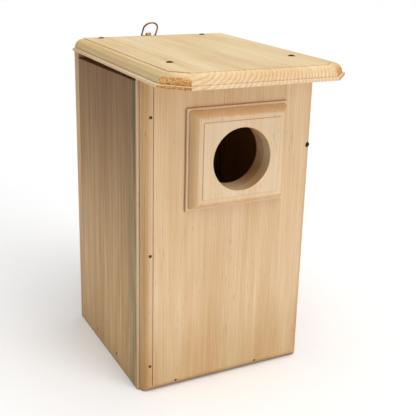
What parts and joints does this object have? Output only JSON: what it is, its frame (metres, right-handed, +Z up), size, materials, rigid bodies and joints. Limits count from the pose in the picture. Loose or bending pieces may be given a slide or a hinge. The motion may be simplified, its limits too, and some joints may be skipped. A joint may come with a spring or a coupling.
{
  "type": "nest box",
  "caption": "Wooden nest box with a round entrance through a moulded plate, flat overhanging roof, pivoting clean-out side and a wire hanging ring.",
  "frame": {"origin": "middle of the bottom of the box, where the walls stand, centred in the width and on the depth of the walls (the roof overhangs towards -Y)", "axes": "+Z up, the entrance faces -Y, +X to the right seen from the front, where the pivoting side is"},
  "size_m": [0.2379, 0.3084, 0.4254],
  "materials": {
    "board_wood": "planed pine, thinly oiled",
    "dark_screw": "dull dark coated steel",
    "nail_steel": "bright wire, slightly dulled",
    "hanger_brass": "brass plated, satin"
  },
  "bodies": {
    "box": {"front_board": "board_wood", "entrance_plate": "board_wood", "back_board": "board_wood", "left_side_board": "board_wood", "floor_board": "board_wood", "roof_board": "board_wood", "roof_screws": "dark_screw", "front_left_nails": "nail_steel", "back_left_nails": "nail_steel", "front_floor_nails": "nail_steel", "back_floor_nails": "nail_steel", "left_floor_nails": "nail_steel", "plate_screws": "dark_screw", "pivot_screw_front": "dark_screw", "pivot_screw_back": "dark_screw", "button_screw": "dark_screw", "hanger_strap": "hanger_brass", "hanger_screws": "hanger_brass"},
    "door": {"side_door": "board_wood"},
    "button": {"turn_button": "nail_steel"},
    "ring": {"d_ring": "hanger_brass"}
  },
  "joints": [
    {"name": "door_pivot", "type": "hinge", "parent": "box", "child": "door", "pos_m": [0.107, 0, 0.296], "axis": [0, -1, 0], "range_deg": [0, 85]},
    {"name": "button_turn", "type": "hinge", "parent": "box", "child": "button", "pos_m": [0.117, 0.107, 0.062], "axis": [-1, 0, 0], "range_deg": [0, 90]},
    {"name": "ring_swing", "type": "hinge", "parent": "box", "child": "ring", "pos_m": [-0.009, 0.1172, 0.4052], "axis": [-1, 0, 0], "range_deg": [0, 200]}
  ]
}
